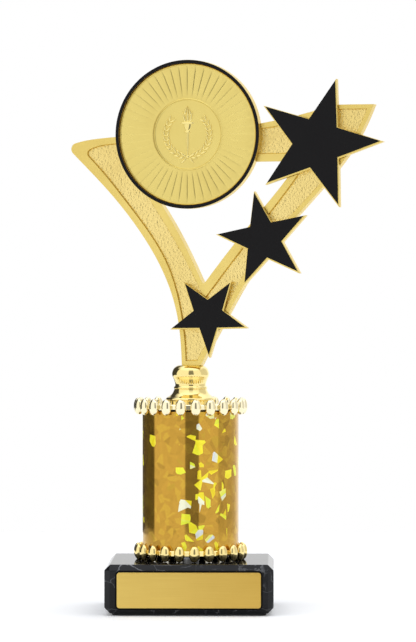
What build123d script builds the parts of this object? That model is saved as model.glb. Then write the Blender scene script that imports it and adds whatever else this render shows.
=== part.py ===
"""Star trophy: a marble base, a foil-wrapped column between two beaded rings, a turned neck,
and a flat gold figure that carries three stars and a holder with a 50 mm centre disc.

Row frame: +Z up, the plate on the base faces -Y, and the origin is under the foam pad, on the axis of
the tie rod that clamps the whole stack together. The figure is screwed on to the rod's top end and
stands turned a little to the left of the base. Sizes are in millimetres.
"""

import os
from math import cos, radians, sin

from build123d import *

os.makedirs("parts", exist_ok=True)

# ---- driving dimensions -------------------------------------------------------------------------
BASE_SIDE = 58.8
BASE_HEIGHT = 17.0
BASE_BEVEL = 2.0
PAD_THICKNESS = 0.8
PLATE_WIDTH, PLATE_HEIGHT, PLATE_THICKNESS = 50.0, 12.4, 0.6
PLATE_DROP = 0.3
TAPE_THICKNESS = 0.25
TAPE_BORDER = 0.55

COLUMN_RADIUS = 17.0
COLUMN_LENGTH = 49.2
TUBE_WALL = 1.5
FOIL_THICKNESS = 0.15

BEAD_COUNT = 22
BEAD_CIRCLE_RADIUS = 18.6
BEAD_HALF_DEPTH, BEAD_HALF_WIDTH, BEAD_HALF_HEIGHT = 1.5, 1.9, 2.9
LOWER_RING_TURN, UPPER_RING_TURN = 5.3, 6.8
BEAD_CLEARANCE = 0.02
FLANGE_RADIUS, FLANGE_THICKNESS = 18.0, 2.0

ROD_RADIUS = 3.0
RUNNING_GAP = 0.05
FIT_GAP = 0.05

NECK_HEIGHT = 13.4

FIGURE_TURN = 14.0
FIGURE_DATUM = 0.25
FRAME_THICKNESS = 4.5
PANEL_DEPTH = 1.0
BACK_PANEL_DEPTH = 0.6
STAR_THICKNESS = 3.1
STAR_SEAT_DEPTH = 1.2
STAR_SEAT_ROOM = 0.3
STAR_WAIST = 0.39
FILM_THICKNESS = 0.2
FILM_BORDER = 0.9

HOLDER_RADIUS = 26.2
HOLDER_DEPTH = 4.0
HOLDER_SEAT_DEPTH = 1.5
HOLDER_FLOOR_THICKNESS = 1.7
DISC_RADIUS, DISC_THICKNESS = 24.95, 0.8
DISC_TAPE_THICKNESS = 0.8
DISC_RELIEF = 0.3
MEDALLION_RADIUS = 12.6
PEG_RADIUS = 1.2

# Places in the figure's own plane: across it from the rod's axis, and up from a datum just over the
# table. A film sits a little up and to the left on its star, as a hand-laid film does.
DISC_CENTRE = (0.0, 167.4)
FILM_SHIFT = (-0.1, 0.25)
STARS = {
    # name: (centre, outer radius, angle of one tip, peg places)
    "large_star": ((47.0, 163.8), 23.6, 1.4, [(42.0, 166.0), (52.0, 166.0)]),
    "middle_star": ((27.7, 130.2), 17.5, 29.7, [(23.4, 128.0), (27.8, 133.4)]),
    "small_star": ((7.6, 103.5), 14.8, 55.1, [(4.6, 103.8), (9.8, 103.8)]),
}
HOLDER_PEGS = [(-19.0, 160.5), (0.0, 163.0), (17.0, 164.5)]

# ---- heights of the stack -----------------------------------------------------------------------
BASE_TOP = PAD_THICKNESS + BASE_HEIGHT
LOWER_RING_Z = BASE_TOP + BEAD_HALF_HEIGHT
COLUMN_FOOT = LOWER_RING_Z + FLANGE_THICKNESS / 2
COLUMN_TOP = COLUMN_FOOT + COLUMN_LENGTH
UPPER_RING_Z = COLUMN_TOP + FLANGE_THICKNESS / 2
NECK_FOOT = COLUMN_TOP + FLANGE_THICKNESS
NECK_TOP = NECK_FOOT + NECK_HEIGHT
FRAME_FOOT = NECK_TOP - FIGURE_DATUM

FRAME_FRONT = FRAME_THICKNESS / 2
STAR_BACK = FRAME_FRONT - STAR_SEAT_DEPTH + FIT_GAP
HOLDER_BACK = FRAME_FRONT - HOLDER_SEAT_DEPTH + FIT_GAP


def figure_plane(forward):
    """The plane of the figure, so far in front of the rod's axis: x across the figure, y up."""
    turn = radians(FIGURE_TURN)
    facing = Vector(-sin(turn), -cos(turn), 0)
    origin = facing * forward + Vector(0, 0, FIGURE_DATUM)
    return Plane(origin=origin, x_dir=(cos(turn), -sin(turn), 0), z_dir=facing)


def finish(piece, name):
    """Labels a finished piece and writes it as its own file."""
    piece.part.label = name
    export_step(piece.part, f"parts/{name}.step")


# ---- base ---------------------------------------------------------------------------------------
NUT_POCKET_RADIUS, NUT_POCKET_DEPTH = 8.5, 9.5
ROD_HOLE_RADIUS = 3.4

with BuildPart() as marble_base:
    with Locations((0, 0, PAD_THICKNESS + BASE_HEIGHT / 2)):
        Box(BASE_SIDE, BASE_SIDE, BASE_HEIGHT)
    chamfer(marble_base.edges(), BASE_BEVEL)
    underside = marble_base.faces().sort_by(Axis.Z)[0]
    with Locations(Plane(underside)):
        CounterBoreHole(ROD_HOLE_RADIUS, NUT_POCKET_RADIUS, NUT_POCKET_DEPTH, BASE_HEIGHT)
finish(marble_base, "marble_base")

with BuildPart() as base_pad:
    with BuildSketch():
        RectangleRounded(BASE_SIDE - 5, BASE_SIDE - 5, 3)
    extrude(amount=PAD_THICKNESS)
finish(base_pad, "base_pad")

PLATE_CENTRE_Z = PAD_THICKNESS + BASE_HEIGHT / 2 - PLATE_DROP

with BuildPart() as plate_tape:
    with BuildSketch(Plane.XZ.offset(BASE_SIDE / 2)):
        with Locations((0, PLATE_CENTRE_Z)):
            RectangleRounded(PLATE_WIDTH + 2 * TAPE_BORDER, PLATE_HEIGHT + 2 * TAPE_BORDER, 1.5)
    extrude(amount=TAPE_THICKNESS)
finish(plate_tape, "plate_tape")

with BuildPart() as engraving_plate:
    with BuildSketch(Plane.XZ.offset(BASE_SIDE / 2 + TAPE_THICKNESS)):
        with Locations((0, PLATE_CENTRE_Z)):
            RectangleRounded(PLATE_WIDTH, PLATE_HEIGHT, 1.0)
    extrude(amount=PLATE_THICKNESS)
    front = engraving_plate.faces().sort_by(Axis.Y)[0]
    chamfer(front.edges(), 0.12)
finish(engraving_plate, "engraving_plate")

# ---- tie rod and its fasteners, in the pocket under the base --------------------------------------
POCKET_CEILING = PAD_THICKNESS + NUT_POCKET_DEPTH
WASHER_RADIUS, WASHER_THICKNESS = 7.5, 1.2
SPRING_WASHER_RADIUS, SPRING_WASHER_THICKNESS = 5.4, 1.5
NUT_ACROSS_FLATS, NUT_HEIGHT = 10.0, 4.8
INSERT_LENGTH = 8.0

with BuildPart() as base_washer:
    with BuildSketch(Plane.XY.offset(POCKET_CEILING - WASHER_THICKNESS)):
        Circle(WASHER_RADIUS)
        Circle(ROD_RADIUS + 0.2, mode=Mode.SUBTRACT)
    extrude(amount=WASHER_THICKNESS)
finish(base_washer, "base_washer")

spring_washer_foot = POCKET_CEILING - WASHER_THICKNESS - SPRING_WASHER_THICKNESS
with BuildPart() as spring_washer:
    with BuildSketch(Plane.XY.offset(spring_washer_foot)):
        Circle(SPRING_WASHER_RADIUS)
        Circle(ROD_RADIUS + 0.2, mode=Mode.SUBTRACT)
        with Locations((SPRING_WASHER_RADIUS - 1, 0)):
            Rectangle(4, 0.8, rotation=25, mode=Mode.SUBTRACT)
    extrude(amount=SPRING_WASHER_THICKNESS)
finish(spring_washer, "spring_washer")

nut_foot = spring_washer_foot - NUT_HEIGHT
with BuildPart() as base_nut:
    with BuildSketch(Plane.XY.offset(nut_foot)):
        RegularPolygon(NUT_ACROSS_FLATS / 2, 6, major_radius=False)
        Circle(ROD_RADIUS + RUNNING_GAP, mode=Mode.SUBTRACT)
    extrude(amount=NUT_HEIGHT)
finish(base_nut, "base_nut")

rod_foot = nut_foot - 0.8
rod_top = NECK_FOOT + INSERT_LENGTH - 0.6
with BuildPart() as tie_rod:
    with BuildSketch(Plane.XY.offset(rod_foot)):
        Circle(ROD_RADIUS)
    extrude(amount=rod_top - rod_foot)
    chamfer(tie_rod.edges().filter_by(GeomType.CIRCLE), 0.5)
finish(tie_rod, "tie_rod")

# ---- column -------------------------------------------------------------------------------------
tube_radius = COLUMN_RADIUS - FOIL_THICKNESS
bore_radius = tube_radius - TUBE_WALL

with BuildPart() as column_tube:
    with BuildSketch(Plane.XY.offset(COLUMN_FOOT)):
        Circle(tube_radius)
        Circle(bore_radius, mode=Mode.SUBTRACT)
    extrude(amount=COLUMN_LENGTH)
finish(column_tube, "column_tube")

with BuildPart() as column_foil:
    with BuildSketch(Plane.XY.offset(COLUMN_FOOT)):
        Circle(COLUMN_RADIUS)
        Circle(tube_radius, mode=Mode.SUBTRACT)
    extrude(amount=COLUMN_LENGTH)
finish(column_foil, "column_foil")


def beaded_ring(middle, tube_side, turn, name):
    """A moulded ring: a flange with beads round its edge, one of them turned so far from the front, a
    spigot that centres the tube on one side (tube_side is 1 for above, -1 for below) and a low seat on
    the other."""
    spigot_radius = bore_radius - 0.1
    spigot_reach = FLANGE_THICKNESS / 2 + 6.0
    seat_reach = BEAD_HALF_HEIGHT if tube_side > 0 else FLANGE_THICKNESS / 2

    # Each bead is a ball drawn in to an upright oval.
    bead_height = BEAD_HALF_HEIGHT - BEAD_CLEARANCE
    with BuildPart() as bead:
        Sphere(bead_height)
        scale(by=(BEAD_HALF_DEPTH / bead_height, BEAD_HALF_WIDTH / bead_height, 1))

    with BuildPart() as ring:
        with BuildSketch(Plane.XY.offset(middle - FLANGE_THICKNESS / 2)):
            Circle(FLANGE_RADIUS)
        extrude(amount=FLANGE_THICKNESS)
        with BuildSketch(Plane.XY.offset(middle)):
            Circle(spigot_radius)
        extrude(amount=tube_side * spigot_reach)
        with BuildSketch(Plane.XY.offset(middle)):
            Circle(12.0)
        extrude(amount=-tube_side * seat_reach)
        # The spigot is a cup: a wall round a hollow, with the rod's hole in its floor.
        with BuildSketch(Plane.XY.offset(middle + tube_side * FLANGE_THICKNESS / 2)):
            Circle(spigot_radius - 1.5)
        extrude(amount=tube_side * 10, mode=Mode.SUBTRACT)
        with Locations((0, 0, middle)):
            Cylinder(ROD_HOLE_RADIUS, 30, mode=Mode.SUBTRACT)
        with Locations((0, 0, middle)):
            with PolarLocations(BEAD_CIRCLE_RADIUS, BEAD_COUNT, start_angle=turn - 90):
                add(bead.part)
    finish(ring, name)


beaded_ring(LOWER_RING_Z, 1, LOWER_RING_TURN, "lower_ring")
beaded_ring(UPPER_RING_Z, -1, UPPER_RING_TURN, "upper_ring")

# ---- neck ---------------------------------------------------------------------------------------
INSERT_RADIUS = 4.2
TANG_LEFT, TANG_RIGHT, TANG_DEPTH, TANG_THICKNESS = -2.2, 2.8, 4.0, 3.0

with BuildPart() as neck:
    with BuildSketch(Plane.XZ):
        with BuildLine():
            foot = Polyline((0, NECK_FOOT), (8.1, NECK_FOOT), (8.1, NECK_FOOT + 1.0),
                            (8.7, NECK_FOOT + 1.3), (8.7, NECK_FOOT + 1.7))
            flare = Spline(foot @ 1, (6.7, NECK_FOOT + 3.1), (5.7, NECK_FOOT + 5.0),
                           tangents=((-1, 0.35), (-0.15, 1)))
            band = Polyline(flare @ 1, (5.85, NECK_FOOT + 5.2), (5.85, NECK_FOOT + 5.8),
                            (5.45, NECK_FOOT + 6.1))
            bulb = Spline(band @ 1, (5.65, NECK_FOOT + 7.4), (6.55, NECK_FOOT + 10.2),
                          (5.9, NECK_FOOT + 12.3), (4.4, NECK_TOP),
                          tangents=((-0.1, 1), (-1, 0.15)))
            Polyline(bulb @ 1, (0, NECK_TOP), (0, NECK_FOOT))
        make_face()
    revolve(axis=Axis.Z)
    with Locations((0, 0, NECK_FOOT + INSERT_LENGTH / 2)):
        Cylinder(INSERT_RADIUS, INSERT_LENGTH, mode=Mode.SUBTRACT)
    # The pocket for the figure's tang.
    with BuildSketch(figure_plane(-(TANG_THICKNESS / 2 + FIT_GAP))):
        with Locations(((TANG_LEFT + TANG_RIGHT) / 2, FRAME_FOOT - TANG_DEPTH / 2)):
            Rectangle(TANG_RIGHT - TANG_LEFT + 2 * FIT_GAP, TANG_DEPTH + 2 * FIT_GAP)
    extrude(amount=TANG_THICKNESS + 2 * FIT_GAP, mode=Mode.SUBTRACT)
finish(neck, "neck")

with BuildPart() as neck_insert:
    with BuildSketch(Plane.XY.offset(NECK_FOOT)):
        Circle(INSERT_RADIUS)
        Circle(ROD_RADIUS + RUNNING_GAP, mode=Mode.SUBTRACT)
        with PolarLocations(INSERT_RADIUS, 18):
            Circle(0.25, mode=Mode.SUBTRACT)
    extrude(amount=INSERT_LENGTH)
finish(neck_insert, "neck_insert")

# ---- figure frame -------------------------------------------------------------------------------
def frame_outline():
    """The swept triangle's outer edge, drawn from the foot up the left arm and round."""
    left = Spline((-2.6, FRAME_FOOT), (-4.6, 105.0), (-11.4, 122.8), (-25.0, 142.4), (-45.2, 163.5),
                  tangents=((-0.03, 1), (-1, 1)))
    top = Spline(left @ 1, (-38.9, 165.3), (-34.5, 166.0), (-27.0, 166.7), (25.4, 171.0), (46.0, 175.9),
                 (66.7, 177.5), tangents=((1, 0.32), (1, 0)))
    right = Spline(top @ 1, (61.1, 165.6), (40.0, 139.6), (20.6, 115.2), (11.2, 98.6), (4.3, FRAME_FOOT),
                   tangents=((-0.4, -1), (-0.5, -1)))
    Line(right @ 1, left @ 0)


def frame_window():
    """The opening inside the triangle."""
    Spline((5.2, 114.4), (-3.6, 132.2), (-17.5, 153.0), tangents=((-0.45, 1), (-0.8, 1)))
    Spline((-17.5, 153.0), (3.0, 156.4), (39.6, 157.8), tangents=((1, 0.2), (1, 0)))
    Spline((39.6, 157.8), (27.0, 141.4), (5.2, 114.4), tangents=((-0.6, -1), (-0.75, -1)))


def panel_outline():
    """The sunk panel's outer edge, which leaves a rim that narrows towards the foot."""
    left = Spline((-1.2, 87.6), (-3.1, 105.2), (-8.4, 122.4), (-22.0, 142.4), (-38.5, 161.4),
                  tangents=((-0.03, 1), (-1, 1)))
    top = Spline(left @ 1, (-34.8, 163.1), (-27.0, 164.4), (25.4, 169.3), (46.0, 174.2), (64.4, 176.0),
                 tangents=((1, 0.5), (1, 0)))
    right = Spline(top @ 1, (59.5, 165.6), (38.4, 140.2), (18.6, 115.7), (9.4, 98.6), (3.0, 87.6),
                   tangents=((-0.4, -1), (-0.5, -1)))
    Line(right @ 1, left @ 0)


def panel_window():
    """The rim round the opening, seen from the panel."""
    Spline((5.6, 109.6), (-6.4, 132.2), (-20.5, 155.6), tangents=((-0.45, 1), (-0.5, 1)))
    Spline((-20.5, 155.6), (3.0, 159.2), (44.2, 160.4), tangents=((1, 0.2), (1, 0)))
    Spline((44.2, 160.4), (29.2, 139.8), (5.6, 109.6), tangents=((-0.6, -1), (-0.75, -1)))


def ribbon(outline, opening, tip_radii, opening_radius):
    """A face between an outline and the opening in it, with its far left, far right and inner corners
    rounded."""
    with BuildSketch(mode=Mode.PRIVATE) as outer:
        with BuildLine():
            outline()
        make_face()
        far = outer.vertices().sort_by(Axis.X)
        for corner, tip_radius in zip((far[0], far[-1]), tip_radii):
            fillet(corner, tip_radius)
    with BuildSketch(mode=Mode.PRIVATE) as inner:
        with BuildLine():
            opening()
        make_face()
        corners = inner.vertices()
        fillet(corners, opening_radius)
    return outer.sketch - inner.sketch


def star_face(radius, angle):
    """A five-pointed star about the origin, with one tip at the angle."""
    points = []
    for k in range(10):
        reach = radius if k % 2 == 0 else radius * STAR_WAIST
        turn = radians(angle + 36 * k)
        points.append((reach * cos(turn), reach * sin(turn)))
    with BuildSketch(mode=Mode.PRIVATE) as face:
        with BuildLine():
            Polyline(*points, close=True)
        make_face()
    return face.sketch


frame_face = ribbon(frame_outline, frame_window, (2.2, 4.2), 0.6)
panel_face = ribbon(panel_outline, panel_window, (1.7, 3.0), 0.6)
peg_places = HOLDER_PEGS + [place for facts in STARS.values() for place in facts[3]]

with BuildPart() as figure_frame:
    with BuildSketch(figure_plane(-FRAME_FRONT)):
        add(frame_face)
    extrude(amount=FRAME_THICKNESS)
    with BuildSketch(figure_plane(FRAME_FRONT - PANEL_DEPTH)):
        add(panel_face)
    extrude(amount=PANEL_DEPTH, mode=Mode.SUBTRACT)
    with BuildSketch(figure_plane(-FRAME_FRONT)):
        add(panel_face)
    extrude(amount=BACK_PANEL_DEPTH, mode=Mode.SUBTRACT)
    # Seats for the stars and the holder, with room round each, and the holes for their pegs.
    for centre, radius, angle, _ in STARS.values():
        seat_face = star_face(radius + STAR_SEAT_ROOM, angle)
        with BuildSketch(figure_plane(FRAME_FRONT - STAR_SEAT_DEPTH)):
            with Locations(centre):
                add(seat_face)
        extrude(amount=STAR_SEAT_DEPTH, mode=Mode.SUBTRACT)
    with BuildSketch(figure_plane(FRAME_FRONT - HOLDER_SEAT_DEPTH)):
        with Locations(DISC_CENTRE):
            Circle(HOLDER_RADIUS + FIT_GAP)
    extrude(amount=HOLDER_SEAT_DEPTH, mode=Mode.SUBTRACT)
    with BuildSketch(figure_plane(-FRAME_FRONT)):
        with Locations(*peg_places):
            Circle(PEG_RADIUS + FIT_GAP)
    extrude(amount=FRAME_THICKNESS, mode=Mode.SUBTRACT)
    # The tang that goes down into the neck.
    with BuildSketch(figure_plane(-TANG_THICKNESS / 2)):
        with Locations(((TANG_LEFT + TANG_RIGHT) / 2, FRAME_FOOT - TANG_DEPTH / 2)):
            Rectangle(TANG_RIGHT - TANG_LEFT, TANG_DEPTH)
    extrude(amount=TANG_THICKNESS)
finish(figure_frame, "figure_frame")

# ---- stars: each a moulded body with pegs, and a black film on its face -------------------------
peg_foot = -FRAME_FRONT + BACK_PANEL_DEPTH

for name, (centre, radius, angle, pegs) in STARS.items():
    body_face = star_face(radius, angle)
    film_face = star_face(radius - FILM_BORDER, angle)

    with BuildPart() as star_body:
        with BuildSketch(figure_plane(STAR_BACK)):
            with Locations(centre):
                add(body_face)
        extrude(amount=STAR_THICKNESS)
        with BuildSketch(figure_plane(peg_foot)):
            with Locations(*pegs):
                Circle(PEG_RADIUS)
        extrude(amount=STAR_BACK - peg_foot)
    finish(star_body, name)

    with BuildPart() as star_film:
        with BuildSketch(figure_plane(STAR_BACK + STAR_THICKNESS)):
            with Locations((centre[0] + FILM_SHIFT[0], centre[1] + FILM_SHIFT[1])):
                add(film_face)
        extrude(amount=FILM_THICKNESS)
    finish(star_film, f"{name}_film")

# ---- holder and centre disc ---------------------------------------------------------------------
holder_front = HOLDER_BACK + HOLDER_DEPTH
holder_floor = HOLDER_BACK + HOLDER_FLOOR_THICKNESS
disc_back = holder_floor + DISC_TAPE_THICKNESS

with BuildPart() as disc_holder:
    with BuildSketch(figure_plane(HOLDER_BACK)):
        with Locations(DISC_CENTRE):
            Circle(HOLDER_RADIUS)
    extrude(amount=HOLDER_DEPTH)
    with BuildSketch(figure_plane(holder_floor)):
        with Locations(DISC_CENTRE):
            Circle(DISC_RADIUS + RUNNING_GAP)
    extrude(amount=HOLDER_DEPTH, mode=Mode.SUBTRACT)
    with BuildSketch(figure_plane(peg_foot)):
        with Locations(*HOLDER_PEGS):
            Circle(PEG_RADIUS)
    extrude(amount=HOLDER_BACK - peg_foot)
finish(disc_holder, "disc_holder")

with BuildPart() as holder_trim:
    with BuildSketch(figure_plane(holder_front)):
        with Locations(DISC_CENTRE):
            Circle(HOLDER_RADIUS - 0.05)
            Circle(DISC_RADIUS + RUNNING_GAP, mode=Mode.SUBTRACT)
    extrude(amount=FILM_THICKNESS)
finish(holder_trim, "holder_trim")

with BuildPart() as disc_tape:
    with BuildSketch(figure_plane(holder_floor)):
        with Locations(DISC_CENTRE):
            Circle(DISC_RADIUS - 3)
    extrude(amount=DISC_TAPE_THICKNESS)
finish(disc_tape, "disc_tape")

# The disc is struck from thin metal: a raised edge, a field, and a medallion in a raised ring.
with BuildPart() as centre_disc:
    with BuildSketch(figure_plane(disc_back)):
        with Locations(DISC_CENTRE):
            Circle(DISC_RADIUS)
    extrude(amount=DISC_THICKNESS)
    with BuildSketch(figure_plane(disc_back + DISC_THICKNESS)):
        with Locations(DISC_CENTRE):
            Circle(DISC_RADIUS - 0.1)
            Circle(DISC_RADIUS - 0.45, mode=Mode.SUBTRACT)
            Circle(MEDALLION_RADIUS)
            Circle(MEDALLION_RADIUS - 0.6, mode=Mode.SUBTRACT)
    extrude(amount=DISC_RELIEF)
finish(centre_disc, "centre_disc")
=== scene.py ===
"""Star trophy: its visible pieces and their finishes, standing in a plain light studio.

Everything is in metres in the row frame: +Z up, the engraving plate faces -Y, the rod's axis is x = y = 0.
The figure has a frame of its own: u across it from the rod's axis, v up from the table, w forward.
"""

import logging
from dataclasses import dataclass
from enum import Enum
from math import atan2, cos, hypot, pi, radians, sin, tau
from typing import Callable, Optional, Sequence

import bpy
from mathutils import Matrix, Vector


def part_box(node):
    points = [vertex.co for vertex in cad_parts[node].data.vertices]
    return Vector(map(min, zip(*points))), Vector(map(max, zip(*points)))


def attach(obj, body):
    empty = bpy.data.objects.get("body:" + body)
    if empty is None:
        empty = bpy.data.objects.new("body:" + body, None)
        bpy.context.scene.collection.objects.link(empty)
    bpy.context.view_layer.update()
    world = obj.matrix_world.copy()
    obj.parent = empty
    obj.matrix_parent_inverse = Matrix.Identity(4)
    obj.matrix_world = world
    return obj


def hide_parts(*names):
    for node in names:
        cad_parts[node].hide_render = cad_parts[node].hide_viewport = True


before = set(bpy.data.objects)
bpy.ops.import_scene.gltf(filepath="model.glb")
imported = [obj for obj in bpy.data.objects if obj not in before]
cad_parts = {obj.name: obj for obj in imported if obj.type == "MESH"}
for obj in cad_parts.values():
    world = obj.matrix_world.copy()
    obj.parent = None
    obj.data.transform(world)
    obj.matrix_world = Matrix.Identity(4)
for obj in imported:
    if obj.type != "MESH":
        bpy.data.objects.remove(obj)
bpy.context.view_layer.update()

MM = 0.001
STAND = "stand"
FIGURE = "figure"
FIGURE_TURN = radians(14.0)
MERGE_DISTANCE = 0.002 * MM
FLAT_WITHIN = radians(0.3)

log = logging.getLogger("star_trophy")


# ---- modelling helpers ---------------------------------------------------------------------------
def figure_matrix(u: float = 0.0, v: float = 0.0, w: float = 0.0) -> Matrix:
    """The matrix that stands a flat piece up in the figure's plane.

    Args:
        u: Distance across the figure from the rod's axis.
        v: Height above the table.
        w: Distance in front of the rod's axis.

    Returns:
        A matrix whose columns are the figure's across, up and forward directions, and that place.
    """
    across = Vector((cos(FIGURE_TURN), -sin(FIGURE_TURN), 0.0))
    forward = Vector((-sin(FIGURE_TURN), -cos(FIGURE_TURN), 0.0))
    up = Vector((0.0, 0.0, 1.0))
    place = across * u + up * v + forward * w
    rows = [(across[i], up[i], forward[i], place[i]) for i in range(3)]
    return Matrix((*rows, (0.0, 0.0, 0.0, 1.0)))


def activate(*pieces: bpy.types.Object) -> None:
    """Selects only these pieces and makes the first of them active."""
    bpy.ops.object.select_all(action="DESELECT")
    for piece in pieces:
        piece.select_set(True)
    bpy.context.view_layer.objects.active = pieces[0]


def added(name: str) -> bpy.types.Object:
    """Names the primitive that was just added, and its mesh, and returns it."""
    piece = bpy.context.active_object
    piece.name = name
    piece.data.name = name
    return piece


def select_where(piece: bpy.types.Object, kind: str, test: Callable[[bpy.types.bpy_struct], bool]) -> None:
    """Selects the parts of a piece's mesh that pass a test, and leaves the piece in edit mode.

    Args:
        piece: The piece.
        kind: "VERT" for its corners or "FACE" for its faces.
        test: Says of one corner or face whether it is selected.
    """
    activate(piece)
    bpy.ops.object.mode_set(mode="EDIT")
    bpy.ops.mesh.select_mode(type=kind)
    bpy.ops.mesh.select_all(action="DESELECT")
    bpy.ops.object.mode_set(mode="OBJECT")
    for element in piece.data.polygons if kind == "FACE" else piece.data.vertices:
        element.select = test(element)
    bpy.ops.object.mode_set(mode="EDIT")


def apply_place(piece: bpy.types.Object, matrix: Optional[Matrix] = None) -> None:
    """Moves a piece by a matrix and puts its whole place into its mesh.

    Args:
        piece: The piece, whose object ends at the origin, unturned and unscaled.
        matrix: Where it goes; left out, it stays where it is.
    """
    if matrix is not None:
        piece.matrix_world = matrix @ piece.matrix_world
    activate(piece)
    bpy.ops.object.transform_apply(location=True, rotation=True, scale=True)


def apply_modifiers(piece: bpy.types.Object) -> None:
    """Applies every modifier of a piece, in order."""
    activate(piece)
    for modifier in list(piece.modifiers):
        bpy.ops.object.modifier_apply(modifier=modifier.name)


def smooth(piece: bpy.types.Object, limit: float = 35.0) -> None:
    """Shades a piece smooth, except over edges sharper than a limit in degrees."""
    activate(piece)
    bpy.ops.object.shade_smooth_by_angle(angle=radians(limit))


def round_edges(piece: bpy.types.Object, width: float, segments: int = 3, limit: float = 35.0) -> None:
    """Rounds the sharp edges of a piece.

    Args:
        piece: The piece.
        width: The width of the rounding.
        segments: How many faces the rounding has.
        limit: The angle, in degrees, over which an edge counts as sharp.
    """
    activate(piece)
    bevel = piece.modifiers.new("rounded_edges", "BEVEL")
    bevel.limit_method = "ANGLE"
    bevel.angle_limit = radians(limit)
    bevel.width = width
    bevel.segments = segments
    bevel.use_clamp_overlap = True
    apply_modifiers(piece)
    smooth(piece)
    piece.modifiers.new("even_normals", "WEIGHTED_NORMAL").keep_sharp = True
    apply_modifiers(piece)


def copy_of_node(node: str, name: str) -> bpy.types.Object:
    """A merged copy of a CAD node's mesh, free of its body, to be shaped further.

    Args:
        node: The CAD node's name.
        name: The new piece's name.

    Returns:
        The new piece, with flat regions joined into single faces.
    """
    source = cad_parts[node]
    piece = bpy.data.objects.new(name, source.data.copy())
    piece.data.name = name
    piece.data.materials.clear()
    bpy.context.scene.collection.objects.link(piece)
    activate(piece)
    bpy.ops.mesh.customdata_custom_splitnormals_clear()
    bpy.ops.object.mode_set(mode="EDIT")
    bpy.ops.mesh.select_all(action="SELECT")
    bpy.ops.mesh.remove_doubles(threshold=MERGE_DISTANCE)
    bpy.ops.mesh.dissolve_limited(angle_limit=FLAT_WITHIN)
    bpy.ops.object.mode_set(mode="OBJECT")
    return piece


def joined(name: str, pieces: Sequence[bpy.types.Object]) -> bpy.types.Object:
    """Joins pieces into the first of them, under a new name."""
    activate(*pieces)
    bpy.ops.object.join()
    return added(name)


def lathe(name: str, profile: Sequence[tuple[float, float]], steps: int = 96) -> bpy.types.Object:
    """Turns a profile about the upright axis.

    Args:
        name: The new piece's name.
        profile: Points as (radius, height), from the first to the last.
        steps: How many faces the turn has.

    Returns:
        A piece with its seam and its poles closed and its faces pointing outwards.
    """
    bpy.ops.object.select_all(action="DESELECT")
    bpy.ops.mesh.primitive_plane_add(size=1.0)
    piece = added(name)
    bpy.ops.object.mode_set(mode="EDIT")
    bpy.ops.mesh.select_mode(type="VERT")
    bpy.ops.mesh.select_all(action="SELECT")
    bpy.ops.mesh.merge(type="CENTER")
    bpy.ops.transform.translate(value=(profile[0][0], 0.0, profile[0][1]))
    for (r0, z0), (r1, z1) in zip(profile, profile[1:]):
        step = {"value": (r1 - r0, 0.0, z1 - z0)}
        bpy.ops.mesh.extrude_region_move(TRANSFORM_OT_translate=step)
    bpy.ops.mesh.select_all(action="SELECT")
    bpy.ops.mesh.spin(steps=steps, angle=tau, center=(0.0, 0.0, 0.0), axis=(0.0, 0.0, 1.0))
    bpy.ops.mesh.select_all(action="SELECT")
    bpy.ops.mesh.remove_doubles(threshold=MERGE_DISTANCE / 2)
    bpy.ops.mesh.normals_make_consistent(inside=False)
    bpy.ops.object.mode_set(mode="OBJECT")
    return piece


def curve_through(points: Sequence[tuple[float, float]], steps: int = 6) -> list[tuple[float, float]]:
    """Works out a smooth curve through some points.

    Args:
        points: The points that it passes through.
        steps: How many points it has from each of them to the next.

    Returns:
        The curve's points, from the first given point to the last.
    """
    padded = [points[0], *points, points[-1]]
    line = []
    for a, b, c, d in zip(padded, padded[1:], padded[2:], padded[3:]):
        for k in range(steps):
            t = k / steps
            line.append(tuple(
                0.5 * (2 * q + (r - p) * t + (2 * p - 5 * q + 4 * r - s) * t ** 2
                       + (3 * q - p - 3 * r + s) * t ** 3)
                for p, q, r, s in zip(a, b, c, d)
            ))
    return [*line, points[-1]]


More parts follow.
